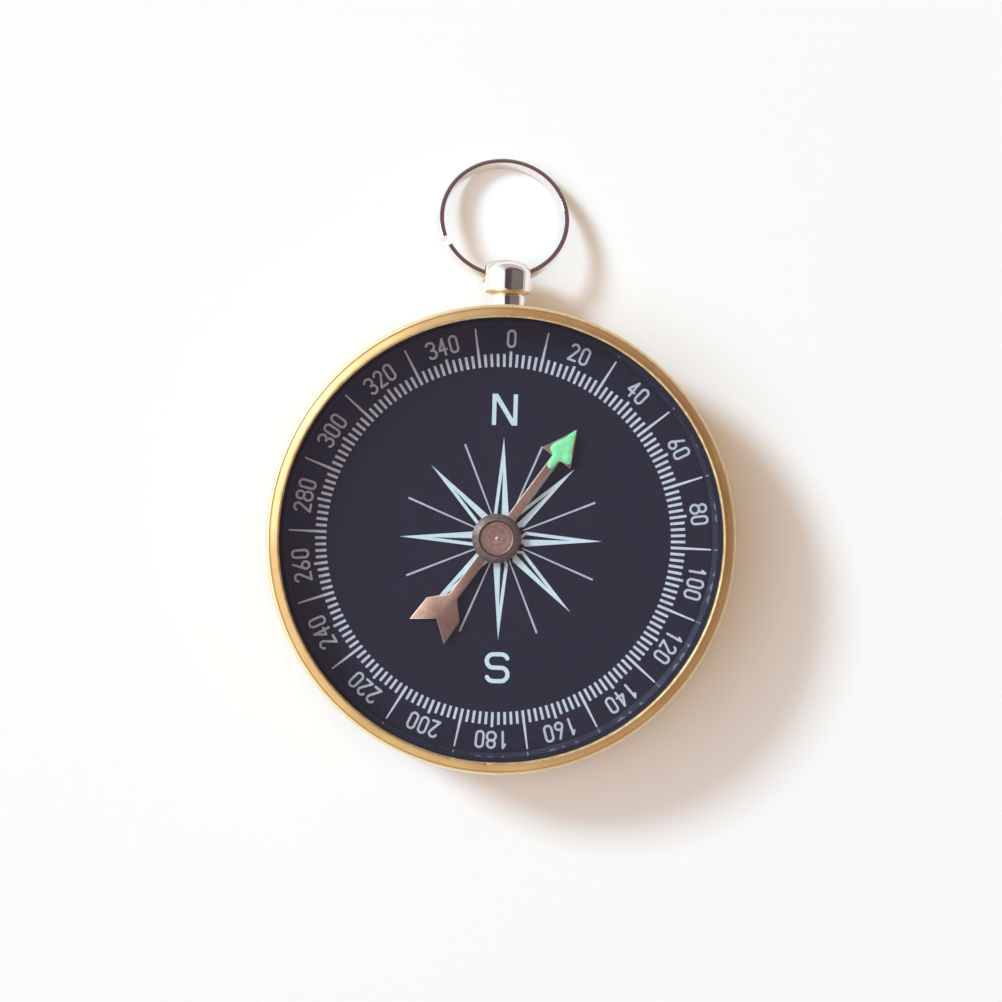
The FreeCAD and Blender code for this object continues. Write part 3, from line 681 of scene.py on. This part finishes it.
def flat_curve(name, loops, low, high, bevel_width):
    """A flat plate from closed loops of points, with rounded edges, as a mesh object."""
    curve = bpy.data.curves.new(name, "CURVE")
    curve.dimensions = "2D"
    curve.fill_mode = "BOTH"
    curve.bevel_depth = bevel_width * MM
    curve.bevel_resolution = edge_steps
    curve.extrude = (high - low) / 2 * MM - curve.bevel_depth
    curve.offset = -curve.bevel_depth
    for loop in loops:
        line = curve.splines.new("POLY")
        line.points.add(len(loop) - 1)
        for point, (x, y) in zip(line.points, loop):
            point.co = (x * MM, y * MM, 0, 1)
        line.use_cyclic_u = True
    holder = bpy.data.objects.new(name + "_curve", curve)
    bpy.context.scene.collection.objects.link(holder)
    bpy.context.view_layer.update()
    shape = bpy.data.meshes.new_from_object(holder.evaluated_get(bpy.context.evaluated_depsgraph_get()))
    bpy.data.objects.remove(holder)
    shape.transform(Matrix.Translation((0, 0, (low + high) / 2 * MM)))
    made = bmesh.new()
    made.from_mesh(shape)
    bmesh.ops.remove_doubles(made, verts=made.verts, dist=merge_distance)
    bmesh.ops.recalc_face_normals(made, faces=made.faces)
    return link(name, made)


print("plate edges rounded in", edge_steps, "steps")

# %% [markdown]
# Punching also leaves the strip slightly bent, and the tail catches more light on one wing than on the other.
# So the wings of the tail are bent down from the middle line, each by its own slope. The outline itself is
# half an arrow, mirrored, with a round hub in the middle, and it is turned to the bearing that the needle
# rests at.

# %% Needle blade
pivot = (-0.4, 0.08)
needle_bearing = math.radians(34.8)
blade_low, blade_high = (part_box("needle_blade")[i].z / MM for i in (0, 1))
tip_reach = 12.83
head_length = 3.38
head_width = 3.3
shaft_width = 0.92
tail_reach = 11.0
tail_start = -6.85
tail_corner = -8.4
tail_corner_width = 3.86
tail_end_width = 4.04
tail_notch = -9.45
hub_radius = 2.2
edge_round = 0.08
tail_fold_run = 1.2
left_wing_fall = 0.2
right_wing_fall = 0.06
fold_sharp_angle = math.radians(30)


def fold(piece, left_fall, right_fall):
    """Bend both wings of the tail down from the needle's middle line, by a fall for each step sideways."""
    made = bmesh.new()
    made.from_mesh(piece.data)
    cut = {"geom": made.verts[:] + made.edges[:] + made.faces[:], "plane_no": (1, 0, 0)}
    bmesh.ops.bisect_plane(made, plane_co=(0, 0, 0), **cut)
    for vertex in made.verts:
        in_tail = min(1.0, max(0.0, (tail_start * MM - vertex.co.y) / (tail_fold_run * MM)))
        fall = left_fall if vertex.co.x < 0 else right_fall
        vertex.co.z -= in_tail * fall * abs(vertex.co.x)
    made.to_mesh(piece.data)
    made.free()
    piece.data.set_sharp_from_angle(angle=fold_sharp_angle)


hub_angle = math.asin(shaft_width / 2 / hub_radius)
right_side = [(head_width / 2, tip_reach - head_length), (shaft_width / 2, tip_reach - head_length)]
hub_steps = 24
for step in range(hub_steps + 1):
    angle = hub_angle + (math.pi - 2 * hub_angle) * step / hub_steps
    right_side.append((hub_radius * math.sin(angle), hub_radius * math.cos(angle)))
right_side += [
    (shaft_width / 2, tail_start),
    (tail_corner_width / 2, tail_corner),
    (tail_end_width / 2, -tail_reach),
]
left_side = [(-x, y) for x, y in reversed(right_side)]
blade_outline = [(0, tip_reach)] + right_side + [(0, tail_notch)] + left_side
blade = flat_curve("needle_punched", [blade_outline], blade_low, blade_high, edge_round)
fold(blade, left_wing_fall, right_wing_fall)
blade.data.transform(Matrix.Rotation(-needle_bearing, 4, "Z"))
blade.data.transform(Matrix.Translation((pivot[0] * MM, pivot[1] * MM, 0)))
print("blade", len(blade.data.polygons), "faces")

# %% [markdown]
# The blade's finish is a thin copper-brown lacquer over steel, so it stays metallic and satin. Its mottle is
# finer than 0.1 mm and is drawn 0.2 mm wide to show. A slow waviness from the punch shifts its glare along
# the blade. Its edges are painted pale, a painted highlight for the bright line that the small bevel catches.
# The edges are found by how far the surface leans away from facing up.

# %% Lacquer on the needle
lacquer_grain = 0.2 * MM
grain_depth = 0.006 * MM
mottle_range = (0.25, 0.75)
bow_width = 5 * MM
bow_depth = 0.6 * MM
edge_highlight_lean = (0.93, 0.7)

lacquer, lacquer_tree, lacquer_shader = new_material("Copper-brown lacquered steel", "#B98263", 1.0, 0.45)
bow = mottle(lacquer_tree, bow_width, 1)
grain = mottle(lacquer_tree, lacquer_grain, 3)
browns = blend(lacquer_tree, remap(lacquer_tree, grain, mottle_range), "#D6A087", "#B4846F")
facing = add(lacquer_tree, "ShaderNodeNewGeometry").outputs["Normal"]
facing_up = add(lacquer_tree, "ShaderNodeSeparateXYZ", {"Vector": facing}).outputs["Z"]
# Painted highlight: edges that lean away from facing up are blended to a pale tone
tone_with_edge_highlight = blend(lacquer_tree, remap(lacquer_tree, facing_up, edge_highlight_lean), browns, "#F6E6DC")
grain_relief = bump(lacquer_tree, grain, grain_depth, 0.5)
bow_relief = bump(lacquer_tree, bow, bow_depth)
feed(lacquer_tree, bow_relief, {"Normal": grain_relief.outputs["Normal"]})
feed(lacquer_tree, lacquer_shader, {"Base Color": tone_with_edge_highlight, "Normal": bow_relief.outputs["Normal"]})
put_on(blade, lacquer)
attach(blade, "needle")
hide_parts("needle_blade")
print("lacquer on the blade, mottle", round(lacquer_grain / MM, 2), "mm wide")

# %% [markdown]
# The cap in the needle's middle is turned from brass. Its shoulder slopes up to a thin ridge, inside which it
# is dished, with a groove and the round nib of the bearing. Each of these rings shows, so the cap is turned
# again from a fuller outline than the CAD's.

# %% Needle cap
cap_low = blade_high
cap_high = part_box("needle_cap")[1].z / MM
cap_radius = 2.33
ridge_radius = 1.75
dish_radius = 1.6
step_radius = 1.3
nib_radius = 0.15
nib_steps = 6
shoulder_foot = 0.07
dish_drop = 0.02
groove_drop = 0.09
groove_run = 0.12
basin_radius = 0.7
basin_drop = 0.13
nib_drop = 0.14
cap_rounds = [0, 0.05, 0.04, 0.03, 0.02, 0.02, 0.3]
cap_turns = 180

cap_outline = rounded(
    [
        (0, cap_low),
        (cap_radius, cap_low),
        (cap_radius, cap_low + shoulder_foot),
        (ridge_radius, cap_high),
        (dish_radius, cap_high - dish_drop),
        (step_radius + groove_run, cap_high - groove_drop),
        (step_radius, cap_high - groove_drop),
        (basin_radius, cap_high - basin_drop),
        (nib_radius, cap_high - nib_drop),
    ],
    cap_rounds,
)
for step in range(1, nib_steps + 1):
    angle = math.pi / 2 * step / nib_steps
    nib_x = nib_radius * math.cos(angle) if step < nib_steps else 0
    cap_outline.append((nib_x, cap_high - nib_drop + nib_radius * math.sin(angle)))

cap = turn("needle_cap_turned", cap_outline, centre=pivot, turns=cap_turns)
print("cap", len(cap.data.polygons), "faces")

# %% [markdown]
# The cap's brass has a brown oxide finish, which is only partly metallic. A colour ramp along the radius
# gives each ring its tone, and holds painted light too: the near-white nib is a painted highlight, and the
# dark band just inside the ridge is painted shade. The ridge is paler than the shoulder. Tool marks that
# follow the radius break it up: the real ones are about 0.03 mm apart and are drawn 0.09 mm apart to show.

# %% Brown oxide and painted light on the cap
# Radius in millimetres and tone: the near-white nib is a painted highlight, the dark band from 1.58 to 1.7 mm
# is painted shade
cap_tones_and_painted_light = [
    (0, "#F4E8DA"),
    (0.13, "#F4E8DA"),
    (0.19, "#AC8271"),
    (1.5, "#A67C6B"),
    (1.58, "#4A3B36"),
    (1.7, "#4A3B36"),
    (1.76, "#94786B"),
    (1.9, "#7C6256"),
    (2.33, "#6E564C"),
]
tool_mark_pitch = 0.09 * MM
tool_mark_depth = 0.003 * MM
patina_width = 0.35 * MM
streak_range = (0.8, 1.2)

bronzed, bronzed_tree, bronzed_shader = new_material("Brown-finished turned brass", "#8E6656", 0.35, 0.42)
bronzed_place = add(bronzed_tree, "ShaderNodeTexCoord").outputs["Object"]
to_pivot = {0: bronzed_place, 1: (pivot[0] * MM, pivot[1] * MM, 0)}
from_pivot = add(bronzed_tree, "ShaderNodeVectorMath", to_pivot, operation="SUBTRACT")
flatten = {0: from_pivot.outputs[0], 1: (1, 1, 0)}
level = add(bronzed_tree, "ShaderNodeVectorMath", flatten, operation="MULTIPLY")
hub_vector = add(bronzed_tree, "ShaderNodeVectorMath", {0: level.outputs[0]}, operation="LENGTH")
hub_distance = hub_vector.outputs["Value"]
tool_rings = rings_at(bronzed_tree, hub_distance, tool_mark_pitch, 2)
cap_share = reckon(bronzed_tree, "DIVIDE", hub_distance, cap_radius * MM)
zones = add(bronzed_tree, "ShaderNodeValToRGB", {"Fac": cap_share})
while len(zones.color_ramp.elements) < len(cap_tones_and_painted_light):
    zones.color_ramp.elements.new(1.0)
for element, (radius, tone) in zip(zones.color_ramp.elements, cap_tones_and_painted_light):
    element.position = radius / cap_radius
    element.color = colour(tone)
streak = reckon(bronzed_tree, "ADD", tool_rings, mottle(bronzed_tree, patina_width, 3))
streaks = remap(bronzed_tree, streak, streak_range)
bronzed_tone = blend(bronzed_tree, streaks, zones.outputs["Color"], "#C4B4AC", blend_type="MULTIPLY")
ring_relief = bump(bronzed_tree, tool_rings, tool_mark_depth).outputs["Normal"]
feed(bronzed_tree, bronzed_shader, {"Base Color": bronzed_tone, "Normal": ring_relief})
put_on(cap, bronzed)
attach(cap, "needle")
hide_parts("needle_cap")
print("brown oxide in", len(cap_tones_and_painted_light), "zones")

# %% [markdown]
# The green on the arrowhead is luminous paint: grains of glowing pigment in a clear binder, dabbed on by
# brush, matte and milky. It is thick enough to stand proud of the metal, and it leaves one barb bare. The CAD
# patch is remeshed finely, then each top point is raised by how far it lies from the edge.

# %% Luminous paint
paint_voxel = 0.035 * MM
paint_rise = 0.09 * MM
paint_shoulder = 0.45 * MM
lump_width = 0.5 * MM
lump_share = 0.5
lume_grain = 0.35 * MM
lume_grain_depth = 0.03 * MM

paint = bpy.data.objects.new("lume_dab", nodes["lume_patch"].data.copy())
bpy.context.scene.collection.objects.link(paint)
outline_points = np.array([v.co.xy for v in paint.data.vertices])
paint_low, paint_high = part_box("lume_patch")
tight = paint.modifiers.new("tight mesh", "REMESH")
tight.mode = "VOXEL"
tight.voxel_size = paint_voxel
bpy.context.view_layer.update()
remeshed = bpy.data.meshes.new_from_object(paint.evaluated_get(bpy.context.evaluated_depsgraph_get()))
paint.modifiers.clear()
paint.data = remeshed
for vertex in remeshed.vertices:
    reach = np.min(np.hypot(*(outline_points - np.array(vertex.co.xy)).T))
    share = min(1.0, reach / paint_shoulder)
    upper = (vertex.co.z - paint_low.z) / (paint_high.z - paint_low.z)
    lump = 1 + lump_share * noise.noise(vertex.co / lump_width)
    vertex.co.z += max(0.0, upper) * paint_rise * math.sin(share * math.pi / 2) * lump
remeshed.shade_smooth()

lume, lume_tree, lume_shader = new_material("Luminous paint", "#8CF0A6", roughness=0.6, ior=1.5)
grains = mottle(lume_tree, lume_grain, 4)
lume_tone = blend(lume_tree, grains, "#79D08A", "#98E2A6")
lume_relief = bump(lume_tree, grains, lume_grain_depth, 0.6).outputs["Normal"]
feed(lume_tree, lume_shader, {"Base Color": lume_tone, "Normal": lume_relief})
put_on(paint, lume)
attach(paint, "needle")
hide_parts("lume_patch")
print("paint", len(remeshed.polygons), "faces")

# %% [markdown]
# The neck is brass, turned, polished and nickel plated. Polished nickel is a little warmer and darker than
# chrome, and a mirror shows every facet, so the head is turned again with a fine mesh. The head's dome runs
# into its side without a crease, as a polishing wheel leaves it: a quarter of an ellipse. The ring's hole is
# drilled with a boolean, and short faces round the hole keep the mirror smooth.

# %% Neck head
head_low, head_high = (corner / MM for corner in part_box("pendant_head"))
collar_low, collar_high = (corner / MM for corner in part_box("neck_collar"))
neck_z = (head_low.z + head_high.z) / 2
head_radius = head_high.x
dome_rise = 1.45
dome_steps = 24
side_steps = 16
foot_round = 0.5
tail_end_round = 0.05
tail_foot_round = 0.02
head_round_steps = 10
head_sharp_angle = math.radians(40)
tail_radius = 0.7
hole_radius = 0.945
hole_y = 25.025
drill_overrun = 1
drill_turns = 120
neck_turns = 240


def along_neck(piece):
    """Lay a piece turned about the vertical along the neck."""
    piece.data.transform(Matrix.Translation((0, 0, neck_z * MM)) @ Matrix.Rotation(math.radians(-90), 4, "X"))
    return piece


side_start = collar_high.y + foot_round
side_end = head_high.y - dome_rise
head_outline = rounded(
    [
        (0, head_low.y),
        (tail_radius, head_low.y),
        (tail_radius, collar_high.y),
        (head_radius, collar_high.y),
        (head_radius, side_end),
    ],
    [tail_end_round, tail_foot_round, foot_round],
    steps=head_round_steps,
)[:-1]
for step in range(1, side_steps):
    head_outline.append((head_radius, side_start + (side_end - side_start) * step / side_steps))
for step in range(dome_steps + 1):
    angle = math.pi / 2 * step / dome_steps
    dome_x = head_radius * math.cos(angle) if step < dome_steps else 0
    head_outline.append((dome_x, side_end + dome_rise * math.sin(angle)))
head = along_neck(turn("neck_head", head_outline, turns=neck_turns, closed=False))

drill_end = head_radius + drill_overrun
drill_outline = [(0, -drill_end), (hole_radius, -drill_end), (hole_radius, drill_end), (0, drill_end)]
drill = turn("drill", drill_outline, turns=drill_turns, closed=False)
drill.data.transform(Matrix.Rotation(math.radians(90), 4, "Y"))
drill.data.transform(Matrix.Translation((0, hole_y * MM, neck_z * MM)))
drilled = head.modifiers.new("ring hole", "BOOLEAN")
drilled.object = drill
bpy.context.view_layer.update()
head.data = bpy.data.meshes.new_from_object(head.evaluated_get(bpy.context.evaluated_depsgraph_get()))
head.modifiers.clear()
bpy.data.objects.remove(drill)
head.data.set_sharp_from_angle(angle=head_sharp_angle)
print("head", len(head.data.polygons), "faces")

# %% [markdown]
# The collar stands between the head and the case, bored for the head's tail. It has a small chamfer on the
# head's side, as turned parts have so that no edge is sharp. Both pieces share one finish: polished nickel
# has a roughness of a few hundredths, and faint stains keep it from being a perfect mirror.

# %% Collar and nickel plate
collar_chamfer = 0.15
collar_rounds = [0.02, 0.06, 0.06]

collar_outline = rounded(
    [
        (tail_radius, collar_low.y),
        (collar_high.x, collar_low.y),
        (collar_high.x, collar_high.y - collar_chamfer),
        (collar_high.x - collar_chamfer, collar_high.y),
        (tail_radius, collar_high.y),
    ],
    collar_rounds,
)
collar = along_neck(turn("neck_collar_turned", collar_outline, turns=neck_turns))
nickel = turned_metal("Polished nickel plate", "#FFFCF7", "#F3EEE7", 0.06, 1.5 * MM)
for piece, node in ((head, "pendant_head"), (collar, "neck_collar")):
    put_on(piece, nickel)
    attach(piece, "case")
    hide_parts(node)
print("collar", len(collar.data.polygons), "faces")

# %% [markdown]
# The jump ring is one turn of flat steel wire, nickel plated, with slightly rounded edges. It could be a
# bevelled curve, but a section that is carried round point by point stays upright and closes with flat, sawn
# ends. Drawing leaves the wire a little duller than the neck.

# %% Wire section
half_thick = 0.225
half_wide = 0.65
wire_round = 0.04
round_steps = 5


def polar(radius, angle):
    """A point in the ring's plane at an angle in degrees."""
    return Vector((radius * math.cos(math.radians(angle)), radius * math.sin(math.radians(angle)), 0))


wire_section = []
for quarter, (thick_side, wide_side) in enumerate(((1, 1), (-1, 1), (-1, -1), (1, -1))):
    for step in range(round_steps + 1):
        angle = math.pi / 2 * (quarter + step / round_steps)
        thick = thick_side * (half_thick - wire_round) + wire_round * math.cos(angle)
        wide = wide_side * (half_wide - wire_round) + wire_round * math.sin(angle)
        wire_section.append((thick, wide))

print("wire section of", len(wire_section), "points")

# %% [markdown]
# The section is then carried round in two stretches. The last one bends on a slightly larger radius, so its
# end stands off and the ring is open. The ring is built flat, moved out to where it hangs in the hole, and
# tipped until its far edge lies on the table.

# %% Jump ring
ring_radius = 6.0
open_radius = 6.2
open_start = 150
ring_start = -150
ring_end = 199.35
ring_arm = 5.685
ring_shift = -0.35
ring_slope = 19.56

stretches = [
    (Vector((0, 0, 0)), ring_radius, ring_start, open_start),
    (polar(ring_radius - open_radius, open_start), open_radius, open_start + 1, ring_end),
]
coil = bmesh.new()
sections = []
for centre, radius, first, last in stretches:
    steps = round(last - first)
    for step in range(steps + 1):
        angle = first + (last - first) * step / steps
        points = [polar(radius + thick, angle) + Vector((0, 0, wide)) for thick, wide in wire_section]
        sections.append([coil.verts.new((centre + point) * MM) for point in points])
for section, following in zip(sections, sections[1:]):
    for place in range(len(section)):
        before = place - 1
        coil.faces.new((section[before], section[place], following[place], following[before]))
coil.faces.new(sections[0])
coil.faces.new(sections[-1])
bmesh.ops.recalc_face_normals(coil, faces=coil.faces)
ring = link("ring_coiled", coil)
ring.data.transform(Matrix.Translation((ring_shift * MM, ring_arm * MM, 0)))
ring.data.transform(Matrix.Rotation(math.radians(-ring_slope), 4, "X"))
ring.data.transform(Matrix.Translation((0, hole_y * MM, neck_z * MM)))
wire = turned_metal("Nickel-plated drawn wire", "#FAF5EF", "#E2DAD3", 0.12, 0.6 * MM)
put_on(ring, wire)
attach(ring, "ring")
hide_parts("jump_ring")
print("ring", len(ring.data.polygons), "faces, open by", round(360 + ring_start - ring_end, 1), "degrees")

# %% [markdown]
# Last, the view layer is brought up to date. The dressed compass has to stay the size that the CAD model
# says.

# %% Update the view layer
bpy.context.view_layer.update()
